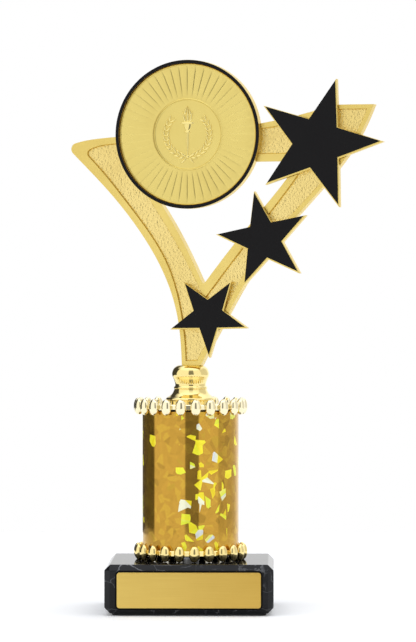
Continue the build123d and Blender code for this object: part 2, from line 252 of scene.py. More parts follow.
# ---- shader helpers ------------------------------------------------------------------------------
class Graph:
    """A node tree being built, with short calls that add and join its nodes."""

    def __init__(self, tree: bpy.types.NodeTree) -> None:
        """Starts with an existing, empty tree."""
        self.tree = tree

    def add(self, kind: str, inputs: Optional[dict] = None, **settings) -> bpy.types.Node:
        """Adds a node.

        Args:
            kind: The node's type, without its "ShaderNode" start.
            inputs: Input name or number to a value, or to the socket that feeds it.
            **settings: The node's own properties.

        Returns:
            The new node.
        """
        node = self.tree.nodes.new(f"ShaderNode{kind}")
        for key, value in settings.items():
            setattr(node, key, value)
        for key, value in (inputs or {}).items():
            if isinstance(value, bpy.types.NodeSocket):
                self.tree.links.new(value, node.inputs[key])
            else:
                node.inputs[key].default_value = value
        return node

    def math(self, operation: str, *values, clamp: bool = False) -> bpy.types.NodeSocket:
        """The result of a Math node on up to three numbers or sockets."""
        inputs = dict(enumerate(values))
        return self.add("Math", inputs, operation=operation, use_clamp=clamp).outputs[0]

    def span(self, value, low: float, high: float, to_low: float = 0.0,
             to_high: float = 1.0) -> bpy.types.NodeSocket:
        """Maps a value from one range on to another.

        Args:
            value: The socket that it reads.
            low: The value that becomes to_low; lower ones do too.
            high: The value that becomes to_high; higher ones do too.
            to_low: The first end of the new range.
            to_high: The other end.

        Returns:
            The socket with the new value.
        """
        inputs = {"Value": value, "From Min": low, "From Max": high, "To Min": to_low, "To Max": to_high}
        return self.add("MapRange", inputs).outputs["Result"]

    def mix(self, share, a, b, blend: str = "MIX") -> bpy.types.NodeSocket:
        """Mixes two colours.

        Args:
            share: How much of the second one is taken.
            a: The first colour, or its socket.
            b: The second.
            blend: The way of mixing.

        Returns:
            The socket with the mixed colour.
        """
        node = self.add("Mix", {0: share}, data_type="RGBA", blend_type=blend)
        for index, colour in ((6, a), (7, b)):
            if isinstance(colour, bpy.types.NodeSocket):
                self.tree.links.new(colour, node.inputs[index])
            else:
                node.inputs[index].default_value = (*colour[:3], 1.0)
        return node.outputs[2]

    def ramp(self, value, stops: Sequence[tuple[float, Sequence[float]]]) -> bpy.types.NodeSocket:
        """Adds a colour ramp.

        Args:
            value: The socket that it reads.
            stops: Its stops, as (place, colour).

        Returns:
            The socket with the colour.
        """
        node = self.add("ValToRGB", {"Fac": value})
        ramp = node.color_ramp
        for index, (place, colour) in enumerate(stops):
            if index < 2:
                stop = ramp.elements[index]
                stop.position = place
            else:
                stop = ramp.elements.new(place)
            stop.color = (*colour[:3], 1.0)
        return node.outputs["Color"]

    def show(self, shader: bpy.types.Node, output: str = "OutputMaterial") -> None:
        """Feeds a shader to a new output node."""
        self.tree.links.new(shader.outputs[0], self.add(output).inputs["Surface"])


def new_material(name: str) -> tuple[bpy.types.Material, Graph]:
    """Starts a material with no nodes, and the Graph that builds it."""
    material = bpy.data.materials.new(name)
    material.use_nodes = True
    material.node_tree.nodes.clear()
    return material, Graph(material.node_tree)


def new_group(name: str, inputs: dict[str, float], outputs: Sequence[str]) -> tuple:
    """Starts a shader node group whose sockets are all numbers, apart from a Vector input.

    Args:
        name: The group's name.
        inputs: Input name to its default number.
        outputs: Output names.

    Returns:
        The group, a Graph that builds it, its input node and its output node.
    """
    group = bpy.data.node_groups.new(name, "ShaderNodeTree")
    group.interface.new_socket("Vector", in_out="INPUT", socket_type="NodeSocketVector")
    for key, value in inputs.items():
        socket = group.interface.new_socket(key, in_out="INPUT", socket_type="NodeSocketFloat")
        socket.default_value = value
    for key in outputs:
        group.interface.new_socket(key, in_out="OUTPUT", socket_type="NodeSocketFloat")
    entry = group.nodes.new("NodeGroupInput")
    exit_ = group.nodes.new("NodeGroupOutput")
    return group, Graph(group), entry, exit_


def grain_group() -> bpy.types.NodeTree:
    """Fine grain and slow smudges over a surface: what keeps a handled, moulded face from being even."""
    group, g, entry, exit_ = new_group("surface_grain", {"Grain Scale": 1500.0, "Smudge Scale": 60.0},
                                       ("Grain", "Smudge"))
    grain = g.add("TexNoise", {"Vector": entry.outputs["Vector"], "Scale": entry.outputs["Grain Scale"],
                               "Detail": 3.0})
    smudge = g.add("TexNoise", {"Vector": entry.outputs["Vector"], "Scale": entry.outputs["Smudge Scale"],
                                "Detail": 2.0, "Distortion": 0.6})
    g.tree.links.new(grain.outputs["Fac"], exit_.inputs["Grain"])
    g.tree.links.new(g.span(smudge.outputs["Fac"], 0.3, 0.7), exit_.inputs["Smudge"])
    return group


class Metalwork(Enum):
    """How a gold surface was finished; one entry is plated gold painted paler as a painted highlight."""

    PLATED = "plated"
    SATIN = "satin"
    STIPPLED = "stippled"
    STRUCK = "struck"
    BURNISHED = "burnished"
    # Plated gold painted paler: a painted highlight standing in for the upper ring's bright reflections.
    PALE = "pale"


@dataclass(frozen=True)
class Finish:
    """A plain finish: one colour, with grain in its roughness and its relief.

    Attributes:
        name: The material's name.
        colour: Its colour, linear.
        shade: The colour that the smudges lean towards.
        metallic: 1 for metal and metal plating.
        roughness: Its mean roughness.
        spread: How far the roughness goes either way.
        grain: Grain scale, per metre.
        relief: Height of the grain, in metres.
        gloss: The shader's specular level.
    """

    name: str
    colour: tuple[float, float, float]
    shade: tuple[float, float, float]
    metallic: float = 0.0
    roughness: float = 0.4
    spread: float = 0.05
    grain: float = 1500.0
    relief: float = 0.00001
    gloss: float = 0.5

    def material(self, grain_tree: bpy.types.NodeTree) -> bpy.types.Material:
        """Builds the material.

        Args:
            grain_tree: The shared surface grain group.

        Returns:
            The new material.
        """
        material, g = new_material(self.name)
        place = g.add("TexCoord").outputs["Object"]
        grain = g.add("Group", node_tree=grain_tree)
        g.tree.links.new(place, grain.inputs["Vector"])
        grain.inputs["Grain Scale"].default_value = self.grain
        colour = g.mix(g.math("MULTIPLY", grain.outputs["Smudge"], 0.6), self.colour, self.shade)
        mixed = g.math("ADD", g.math("MULTIPLY", grain.outputs["Smudge"], 0.5),
                       g.math("MULTIPLY", grain.outputs["Grain"], 0.5))
        rough = g.span(mixed, 0.2, 0.8, self.roughness - self.spread, self.roughness + self.spread)
        bump = g.add("Bump", {"Height": grain.outputs["Grain"], "Distance": self.relief, "Strength": 1.0})
        shader = g.add("BsdfPrincipled", {"Base Color": colour, "Roughness": rough,
                                          "Metallic": self.metallic,
                                          "Specular IOR Level": self.gloss,
                                          "Normal": bump.outputs["Normal"]})
        g.show(shader)
        return material


@dataclass(frozen=True)
class MarbleFinish:
    """Polished black marble, crossed by fine pale veins.

    Attributes:
        ground: The stone's colour.
        cloud: The colour of its paler clouds.
        vein: The colour of its veins.
    """

    ground: tuple[float, float, float] = (0.003, 0.003, 0.0035)
    cloud: tuple[float, float, float] = (0.012, 0.012, 0.014)
    vein: tuple[float, float, float] = (0.46, 0.47, 0.50)

    def material(self) -> bpy.types.Material:
        """Builds the material, with veins that run through the block."""
        material, g = new_material("black_marble")
        place = g.add("TexCoord").outputs["Object"]
        drift = g.add("TexNoise", {"Vector": place, "Scale": 55.0, "Detail": 5.0, "Roughness": 0.6})
        shifted = g.add("VectorMath", {0: drift.outputs["Color"], 1: (0.014, 0.014, 0.014)},
                        operation="MULTIPLY")
        warped = g.add("VectorMath", {0: place, 1: shifted.outputs[0]}, operation="ADD").outputs[0]
        veins = []
        for scale, width in ((42.0, 0.012), (95.0, 0.016)):
            cells = g.add("TexVoronoi", {"Vector": warped, "Scale": scale}, feature="DISTANCE_TO_EDGE")
            veins.append(g.span(cells.outputs["Distance"], 0.0, width, 1.0, 0.0))
        fade = g.add("TexNoise", {"Vector": place, "Scale": 70.0, "Detail": 2.0})
        strong = g.span(fade.outputs["Fac"], 0.52, 0.72)
        weak = g.span(fade.outputs["Fac"], 0.60, 0.35)
        share = g.math("ADD", g.math("MULTIPLY", veins[0], strong),
                       g.math("MULTIPLY", g.math("MULTIPLY", veins[1], weak), 0.35), clamp=True)
        clouded = g.mix(g.span(drift.outputs["Fac"], 0.45, 0.75), self.ground, self.cloud)
        colour = g.mix(g.math("MULTIPLY", share, 0.75), clouded, self.vein)
        rough = g.span(share, 0.0, 1.0, 0.07, 0.16)
        bump = g.add("Bump", {"Height": g.math("MULTIPLY", share, -1.0), "Distance": 0.00002})
        shader = g.add("BsdfPrincipled", {"Base Color": colour, "Roughness": rough,
                                          "Specular IOR Level": 0.20,
                                          "Normal": bump.outputs["Normal"]})
        g.show(shader)
        return material


@dataclass(frozen=True)
class FoilFinish:
    """Gold foil broken into straight-edged shards, a few of which carry a painted glint in a spectral
    colour.

    Each cell of the pattern is cut in two by a straight line of its own, which gives the foil its
    three- and four-sided shards.

    Attributes:
        ground: The foil's own colour.
        sheen: The yellow that some shards lean towards.
        shine: How metallic the foil is.
        radius: The column's radius, which sets how far round a place is.
        cells_per_metre: How fine the pattern is.
        cut_reach: How far from a cell's middle its cut may pass.
        flare_turn: The angle from the front of the line where most shards carry the painted glint.
    """

    ground: tuple[float, float, float] = (0.575, 0.325, 0.047)
    sheen: tuple[float, float, float] = (0.66, 0.46, 0.05)
    shine: float = 0.86
    radius: float = 17.0 * MM
    cells_per_metre: float = 340.0
    cut_reach: float = 0.5 * MM
    flare_turn: float = radians(17.0)

    def halves(self, g: Graph, sheet: bpy.types.NodeSocket) -> tuple:
        """Cuts the sheet into cells and each cell into two halves.

        Args:
            g: The material's graph.
            sheet: The place on the unrolled sheet.

        Returns:
            The cell's three random numbers, the half's own random number, and the distance from the cut.
        """
        cells = g.add("TexVoronoi", {"Vector": sheet, "Scale": self.cells_per_metre}, feature="F1",
                      distance="EUCLIDEAN")
        draw = g.add("SeparateColor", {0: cells.outputs["Color"]})
        turn = g.math("MULTIPLY", draw.outputs["Red"], tau)
        way = g.add("CombineXYZ", {"X": g.math("COSINE", turn), "Y": g.math("SINE", turn)})
        off = g.add("VectorMath", {0: sheet, 1: cells.outputs["Position"]}, operation="SUBTRACT")
        cut = g.add("VectorMath", {0: off.outputs[0], 1: way.outputs[0]}, operation="DOT_PRODUCT")
        reach = g.span(draw.outputs["Green"], 0.0, 1.0, -self.cut_reach, self.cut_reach)
        past = g.math("SUBTRACT", cut.outputs["Value"], reach)
        side = g.math("GREATER_THAN", past, 0.0)
        own = g.math("FRACT", g.math("ADD", g.math("MULTIPLY", draw.outputs["Red"], 7.13),
                                     g.math("MULTIPLY", side, 0.37)))
        return draw, own, past

    def material(self) -> bpy.types.Material:
        """Builds the material, its pattern laid round the column."""
        material, g = new_material("shard_foil")
        place = g.add("SeparateXYZ", {0: g.add("TexCoord").outputs["Object"]})
        angle = g.math("ARCTAN2", place.outputs["X"], g.math("MULTIPLY", place.outputs["Y"], -1.0))
        around = g.math("MULTIPLY", angle, self.radius)
        sheet = g.add("CombineXYZ", {"X": around, "Y": place.outputs["Z"]}).outputs[0]
        draw, own, past = self.halves(g, sheet)
        tone = g.span(own, 0.0, 1.0, 0.90, 1.06)
        deep = g.math("GREATER_THAN", g.math("FRACT", g.math("MULTIPLY", own, 5.3)), 0.86)
        tone = g.math("MULTIPLY", tone, g.math("SUBTRACT", 1.0, g.math("MULTIPLY", deep, 0.2)))
        grey = g.add("CombineColor", {0: tone, 1: tone, 2: tone}).outputs[0]
        base = g.mix(1.0, self.ground, grey, "MULTIPLY")
        hue = g.math("FRACT", g.math("MULTIPLY", own, 4.7))
        # The colours of the painted glints.
        spectral = g.ramp(g.math("ADD", hue, g.math("MULTIPLY", past, 60.0), clamp=True), (
            (0.0, (0.90, 0.70, 0.02)), (0.30, (1.0, 0.90, 0.04)), (0.55, (0.80, 0.88, 0.05)),
            (0.68, (0.98, 0.93, 0.22)), (0.84, (0.72, 0.76, 0.80)), (0.95, (0.95, 0.95, 0.70)),
        ))
        # Painted highlight: lit shards take the spectral colour in their base colour and lose most of their
        # metallic. More shards are lit near flare_turn round the column.
        flare = g.span(g.math("COSINE", g.math("MULTIPLY", g.math("SUBTRACT", angle, self.flare_turn), 3.0)),
                       -0.2, 1.0)
        needed = g.span(flare, 0.0, 1.0, 0.96, 0.62)
        lit = g.math("MULTIPLY", g.math("GREATER_THAN", draw.outputs["Blue"], needed),
                     g.math("GREATER_THAN", own, 0.36))
        faint = g.math("MULTIPLY", g.math("GREATER_THAN", own, 0.78), 0.30)
        tinted = g.mix(faint, base, self.sheen)
        colour = g.mix(lit, tinted, spectral)
        metallic = g.math("SUBTRACT", self.shine, g.math("MULTIPLY", lit, 0.72))
        rough = g.span(draw.outputs["Green"], 0.0, 1.0, 0.05, 0.10)
        wrinkle = g.add("TexNoise", {"Vector": sheet, "Scale": 220.0, "Detail": 2.0})
        bump = g.add("Bump", {"Height": wrinkle.outputs["Fac"], "Distance": 0.000012})
        shader = g.add("BsdfPrincipled", {"Base Color": colour, "Metallic": metallic, "Roughness": rough,
                                          "Specular IOR Level": 0.3, "Normal": bump.outputs["Normal"]})
        g.show(shader)
        return material


@dataclass(frozen=True)
class BrushedFinish:
    """Thin gold metal sheet, brushed along its length.

    Attributes:
        colour: Its colour at the left end, where the painted reflection is brightest.
        shade: The deeper colour that it leans towards at the right end, a painted reflection.
        reach: Half the sheet's length.
    """

    colour: tuple[float, float, float] = (0.80, 0.575, 0.15)
    shade: tuple[float, float, float] = (0.66, 0.425, 0.09)
    reach: float = 25.0 * MM

    def material(self) -> bpy.types.Material:
        """Builds the material, with brush lines along X."""
        material, g = new_material("brushed_gold_plate")
        stretched = g.add("Mapping", {"Vector": g.add("TexCoord").outputs["Object"],
                                      "Scale": (60.0, 1.0, 5200.0)})
        lines = g.add("TexNoise", {"Vector": stretched.outputs[0], "Scale": 1.0, "Detail": 4.0})
        across = g.add("SeparateXYZ", {0: g.add("TexCoord").outputs["Object"]}).outputs["X"]
        drift = g.add("TexNoise", {"Vector": g.add("TexCoord").outputs["Object"], "Scale": 40.0})
        # Painted reflection: the colour leans from colour to shade across the plate, left to right. The
        # drift noise and the brush lines add random tone on top.
        lean = g.math("ADD", g.span(across, -self.reach, self.reach, 0.0, 0.75),
                      g.span(drift.outputs["Fac"], 0.3, 0.7, -0.12, 0.12))
        share = g.math("ADD", lean, g.span(lines.outputs["Fac"], 0.3, 0.7, 0.0, 0.25), clamp=True)
        colour = g.mix(share, self.colour, self.shade)
        rough = g.span(lines.outputs["Fac"], 0.3, 0.7, 0.30, 0.42)
        bump = g.add("Bump", {"Height": lines.outputs["Fac"], "Distance": 0.000006})
        shader = g.add("BsdfPrincipled", {"Base Color": colour, "Roughness": rough, "Metallic": 1.0,
                                          "Anisotropic": 0.4, "Normal": bump.outputs["Normal"]})
        g.show(shader)
        return material


class Finishes:
    """Every material of the trophy, built once."""

    def __init__(self) -> None:
        """Builds the shared grain and the materials."""
        grain = grain_group()
        self.marble = MarbleFinish().material()
        self.foil = FoilFinish().material()
        self.plate = BrushedFinish().material()
        self.gold = {
            Metalwork.PLATED: Finish("plated_gold", (0.93, 0.76, 0.33), (0.90, 0.72, 0.28), 1.0, 0.08,
                                     0.03, 900.0, 0.000002).material(grain),
            Metalwork.SATIN: Finish("satin_gold", (0.80, 0.62, 0.19), (0.75, 0.56, 0.15), 1.0, 0.38,
                                    0.06, 2500.0, 0.000006).material(grain),
            Metalwork.STIPPLED: Finish("stippled_gold", (0.84, 0.66, 0.25), (0.79, 0.60, 0.20), 1.0,
                                       0.24, 0.08, 1500.0, 0.00022).material(grain),
            # A paler copy of the plated gold, its lighter colour a painted highlight.
            Metalwork.PALE: Finish("plated_gold_painted_highlight", (0.96, 0.87, 0.60), (0.93, 0.82, 0.50), 1.0, 0.09,
                                   0.03, 900.0, 0.000002).material(grain),
            Metalwork.BURNISHED: Finish("burnished_gold", (0.84, 0.70, 0.27), (0.78, 0.63, 0.2), 1.0,
                                        0.13, 0.03, 1200.0, 0.000008).material(grain),
            Metalwork.STRUCK: Finish("struck_gold", (0.74, 0.60, 0.19), (0.70, 0.55, 0.16), 1.0, 0.30,
                                     0.05, 2500.0, 0.00001).material(grain),
        }
        self.film = Finish("black_film", (0.0055, 0.005, 0.0055), (0.008, 0.0075, 0.008), 0.0, 0.55,
                           0.06, 4000.0, 0.000006, 0.13).material(grain)
        self.zinc = Finish("zinc_steel", (0.60, 0.61, 0.63), (0.50, 0.51, 0.53), 1.0, 0.35, 0.08,
                           1500.0, 0.00001).material(grain)
        self.brass = Finish("turned_brass", (0.70, 0.50, 0.20), (0.60, 0.42, 0.16), 1.0, 0.30, 0.08,
                            1500.0, 0.00001).material(grain)
        self.foam = Finish("black_foam", (0.018, 0.018, 0.018), (0.03, 0.03, 0.03), 0.0, 0.9, 0.05,
                           1400.0, 0.00012).material(grain)
        self.tape = Finish("tape", (0.004, 0.004, 0.004), (0.006, 0.006, 0.006), 0.0, 0.6, 0.05,
                           1400.0, 0.00002, 0.05).material(grain)
        self.tube = Finish("tube_plastic", (0.008, 0.008, 0.007), (0.012, 0.011, 0.01), 0.0, 0.6, 0.05,
                           1400.0, 0.00002, 0.1).material(grain)


def dress(piece: bpy.types.Object, material: bpy.types.Material) -> None:
    """Gives a piece one material all over."""
    piece.data.materials.clear()
    piece.data.materials.append(material)


def hand_over(piece: bpy.types.Object, material: bpy.types.Material, body: str, slot: str,
              *nodes: str) -> None:
    """Finishes a piece: its material, the body that it rides on and the nodes it stands for.

    Args:
        piece: The piece, in place.
        material: Its material.
        body: The CAD body that it moves with.
        slot: A material slot's name; not used.
        *nodes: The CAD nodes that it replaces.
    """
    dress(piece, material)
    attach(piece, body)
    if nodes:
        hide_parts(*nodes)
    log.info("%s: %d faces, on %s", piece.name, len(piece.data.polygons), body)


# ---- the stand -----------------------------------------------------------------------------------
@dataclass
class Base:
    """The marble block with its engraving plate, the pad under it and the rod's fasteners inside it.

    Attributes:
        finishes: The trophy's materials.
        arris: How much the block's and the pad's edges are rounded.
        plate_edge: How much the plate's are.
    """

    finishes: Finishes
    arris: float = 0.22 * MM
    plate_edge: float = 0.10 * MM

    def build(self) -> None:
        """Makes the block and the plate and dresses what the CAD already has right."""
        block = copy_of_node("marble_base", "marble_block")
        round_edges(block, self.arris, 2, 30.0)
        hand_over(block, self.finishes.marble, STAND, "marble", "marble_base")
        plate = copy_of_node("engraving_plate", "blank_plate")
        round_edges(plate, self.plate_edge, 2, 30.0)
        hand_over(plate, self.finishes.plate, STAND, "plate_metal", "engraving_plate")
        pad = copy_of_node("base_pad", "foam_pad")
        round_edges(pad, self.arris, 2)
        hand_over(pad, self.finishes.foam, STAND, "foam", "base_pad")
        dress(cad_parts["plate_tape"], self.finishes.tape)
        for node in ("tie_rod", "base_washer", "spring_washer", "base_nut"):
            dress(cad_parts[node], self.finishes.zinc)


@dataclass
class Column:
    """The foil-wrapped tube between its two beaded rings.

    Attributes:
        finishes: The trophy's materials.
        bead_count: Beads round each ring.
        bead_depth: Half a bead's size towards the axis.
        bead_width: Half its size along the ring.
        bead_half: Half its height.
        bead_circle: The radius of the circle of beads.
        flange_radius: The radius of the flange between them.
        flange_half: Half the flange's thickness.
        flange_edge: The width of its bevelled edge.
        spigot: The inner and outer radius of the collar that fits in the tube.
        spigot_length: How far the collar reaches into the tube.
        hole_radius: The radius of the hole that the rod passes through.
        seam_width: How far the foil laps over itself at the back.
        seam_lift: How far the lap stands out.
        foil_thickness: The foil's thickness.
        bare_top: How much of the tube the foil leaves bare at the top.
        lower_turn: How far a bead of the lower ring is turned from the front.
        upper_turn: The same for the upper ring.
    """

    finishes: Finishes
    bead_count: int = 22
    bead_depth: float = 1.5 * MM
    bead_width: float = 1.9 * MM
    bead_half: float = 2.88 * MM
    bead_circle: float = 18.6 * MM
    flange_radius: float = 18.0 * MM
    flange_half: float = 1.0 * MM
    flange_edge: float = 0.3 * MM
    spigot: tuple[float, float] = (13.8 * MM, 15.2 * MM)
    spigot_length: float = 5.8 * MM
    hole_radius: float = 8.0 * MM
    seam_width: float = 6.0 * MM
    seam_lift: float = 0.06 * MM
    foil_thickness: float = 0.12 * MM
    bare_top: float = 0.5 * MM
    lower_turn: float = radians(5.3)
    upper_turn: float = radians(6.8)

    def build(self) -> None:
        """Makes the foil and both rings."""
        dress(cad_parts["column_tube"], self.finishes.tube)
        self.foil()
        plated = self.finishes.gold[Metalwork.PLATED]
        # The upper ring takes the paler copy of the plated gold: its lighter colour is painted highlight.
        pale = self.finishes.gold[Metalwork.PALE]
        self.ring("lower_ring", "lower_bead_ring", 1, self.lower_turn, plated)
        self.ring("upper_ring", "upper_bead_ring", -1, self.upper_turn, pale)

    def foil(self) -> None:
        """Wraps the foil once round the tube, a little short of its top and lapped at the back."""
        low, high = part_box("column_foil")
        radius = high.x
        height = high.z - low.z - self.bare_top
        middle = (0.0, 0.0, (low.z + high.z - self.bare_top) / 2)
        bpy.ops.object.select_all(action="DESELECT")
        bpy.ops.mesh.primitive_cylinder_add(vertices=240, radius=radius, depth=height, location=middle,
                                            end_fill_type="NOTHING")
        wrap = added("foil_wrap")
        apply_place(wrap)
        reach = self.seam_width / 2
        select_where(wrap, "FACE", lambda face: face.center.y > 0 and abs(face.center.x) < reach)
        bpy.ops.mesh.extrude_region_shrink_fatten(TRANSFORM_OT_shrink_fatten={"value": self.seam_lift})
        bpy.ops.object.mode_set(mode="OBJECT")
        wall = wrap.modifiers.new("wall", "SOLIDIFY")
        wall.thickness = self.foil_thickness
        wall.offset = -1.0
        apply_modifiers(wrap)
        smooth(wrap, 25.0)
        hand_over(wrap, self.finishes.foil, STAND, "foil", "column_foil")

    def ring(self, node: str, name: str, tube_side: int, turned: float,
             material: bpy.types.Material) -> None:
        """Makes one ring: a turned flange and the beads round its edge.

        Args:
            node: The CAD node that it stands for.
            name: The piece's name.
            tube_side: 1 where the tube stands on it, -1 where it sits in the tube's top.
            turned: How far one of its beads is turned from the front.
            material: Its material.
        """
        low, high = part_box(node)
        middle = low.z + self.bead_half if tube_side > 0 else high.z - self.bead_half
        face = tube_side * self.flange_half
        bevel = tube_side * (self.flange_half - self.flange_edge)
        spigot_end = tube_side * (self.flange_half + self.spigot_length)
        inner, outer = self.spigot
        profile = [
            (self.hole_radius, -face), (self.flange_radius - self.flange_edge, -face),
            (self.flange_radius, -bevel), (self.flange_radius, bevel),
            (self.flange_radius - self.flange_edge, face), (outer, face), (outer, spigot_end),
            (inner, spigot_end), (inner, face), (self.hole_radius, face), (self.hole_radius, -face),
        ]
        flange = lathe(f"{name}_flange", [(r, z + middle) for r, z in profile], 120)
        bpy.ops.object.select_all(action="DESELECT")
        bpy.ops.mesh.primitive_uv_sphere_add(segments=28, ring_count=18, radius=1.0,
                                             scale=(self.bead_depth, self.bead_width, self.bead_half))
        bead = added(f"{name}_bead")
        apply_place(bead)
        beads = []
        for k in range(self.bead_count):
            turn = turned - pi / 2 + tau * k / self.bead_count
            copy = bead.copy()
            copy.data = bead.data.copy()
            bpy.context.scene.collection.objects.link(copy)
            place = Matrix.Translation((0.0, 0.0, middle)) @ Matrix.Rotation(turn, 4, "Z")
            apply_place(copy, place @ Matrix.Translation((self.bead_circle, 0.0, 0.0)))
            beads.append(copy)
        bpy.data.objects.remove(bead)
        ring = joined(name, [flange, *beads])
        smooth(ring, 35.0)
        hand_over(ring, material, STAND, "plated_gold", node)


# ---- the figure ----------------------------------------------------------------------------------
@dataclass
class Neck:
    """The turned riser that screws on to the rod and carries the figure."""

    finishes: Finishes

    def build(self) -> None:
        """Turns the neck from its profile, from the foot up to the flat under the frame."""
        low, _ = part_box("neck")
        foot = [(6.0, 0.05), (8.1, 0.0), (8.15, 0.9), (8.7, 1.25), (8.72, 1.6), (8.4, 2.0)]
        flare = curve_through([(8.4, 2.0), (7.4, 2.6), (6.5, 3.4), (5.95, 4.4), (5.7, 5.0)], 5)
        band = [(5.86, 5.12), (5.9, 5.4), (5.86, 5.75), (5.6, 5.95)]
        bulb = curve_through([(5.45, 6.15), (5.45, 6.9), (5.9, 8.4), (6.45, 9.7), (6.5, 10.8),
                              (6.0, 12.1), (5.2, 12.9), (4.4, 13.35)], 6)
        profile = [*foot, *flare[1:], *band, *bulb, (0.0, 13.4)]
        piece = lathe("turned_neck", [(r * MM, low.z + h * MM) for r, h in profile], 128)
        smooth(piece, 50.0)
        hand_over(piece, self.finishes.gold[Metalwork.PLATED], FIGURE, "plated_gold", "neck")
        dress(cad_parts["neck_insert"], self.finishes.brass)


@dataclass
class Triangle:
    """The swept triangular frame: smooth raised rims round a stippled web.

    Attributes:
        finishes: The trophy's materials.
        rim_edge: How much the rims are rounded.
        back_floor: Where the floor of the back panel lies, forward from the axis.
        web_thickness: From that floor to the front panel's.
        web_lift: How far the web stands out of each panel's floor.
        voxel: The size of the web's mesh.
        pebble: How high its pebbles are.
        pebble_pitch: How far apart they are.
    """

    finishes: Finishes
    rim_edge: float = 0.45 * MM
    back_floor: float = -1.65 * MM
    web_thickness: float = 2.9 * MM
    web_lift: float = 0.08 * MM
    voxel: float = 0.24 * MM
    pebble: float = 0.085 * MM
    pebble_pitch: float = 0.5 * MM

    def build(self) -> None:
        """Makes the rims and the stippled web."""
        rims = copy_of_node("figure_frame", "frame_rims")
        web = self.web(rims)
        round_edges(rims, self.rim_edge, 3, 40.0)
        hand_over(rims, self.finishes.gold[Metalwork.SATIN], FIGURE, "satin_gold", "figure_frame")
        hand_over(web, self.finishes.gold[Metalwork.STIPPLED], FIGURE, "satin_gold", "figure_frame")

    def on_back_floor(self, face: bpy.types.MeshPolygon) -> bool:
        """Says whether a face of the frame is part of the back panel's floor."""
        into_plane = figure_matrix().inverted()
        flat = abs((into_plane.to_3x3() @ face.normal).z) > 0.99
        return flat and abs((into_plane @ face.center).z - self.back_floor) < 0.05 * MM

    def web(self, rims: bpy.types.Object) -> bpy.types.Object:
        """Lifts the sunk panel off the back of the frame and makes a pebbled plate from it.

        Args:
            rims: The frame, whose back panel gives the web its outline.

        Returns:
            The web, pebbled on both faces.
        """
        select_where(rims, "FACE", self.on_back_floor)
        bpy.ops.mesh.duplicate()
        bpy.ops.mesh.separate(type="SELECTED")
        bpy.ops.object.mode_set(mode="OBJECT")
        web = next(piece for piece in bpy.context.selected_objects if piece is not rims)
        web.name = "frame_web"
        web.data.name = "frame_web"
        activate(web)
        wall = web.modifiers.new("wall", "SOLIDIFY")
        wall.thickness = self.web_thickness + 2 * self.web_lift
        wall.offset = -1.0
        apply_modifiers(web)
        back = figure_matrix().to_3x3() @ Vector((0.0, 0.0, -self.web_lift))
        apply_place(web, Matrix.Translation(back))
        grid = web.modifiers.new("grid", "REMESH")
        grid.mode = "VOXEL"
        grid.voxel_size = self.voxel
        apply_modifiers(web)
        texture = bpy.data.textures.new("pebbles", "CLOUDS")
        texture.noise_scale = self.pebble_pitch
        texture.noise_depth = 1
        pebbles = web.modifiers.new("pebbles", "DISPLACE")
        pebbles.texture = texture
        pebbles.texture_coords = "LOCAL"
        pebbles.strength = 2 * self.pebble
        pebbles.mid_level = 0.5
        apply_modifiers(web)
        smooth(web, 60.0)
        return web


@dataclass
class Stars:
    """The three stars, each a gold body with a black film on its face.

    Attributes:
        finishes: The trophy's materials.
        names: The stars' CAD nodes.
        body_edge: How much the bodies' edges are rounded.
        film_edge: How much the films' are.
    """

    finishes: Finishes
    names: tuple[str, ...] = ("large_star", "middle_star", "small_star")
    body_edge: float = 0.18 * MM
    film_edge: float = 0.05 * MM

    def build(self) -> None:
        """Makes each star and its film."""
        for name in self.names:
            body = copy_of_node(name, f"{name}_body")
            round_edges(body, self.body_edge, 2, 40.0)
            hand_over(body, self.finishes.gold[Metalwork.SATIN], FIGURE, "satin_gold", name)
            film = copy_of_node(f"{name}_film", f"{name}_face")
            round_edges(film, self.film_edge, 2, 40.0)
            hand_over(film, self.finishes.film, FIGURE, "black_film", f"{name}_film")


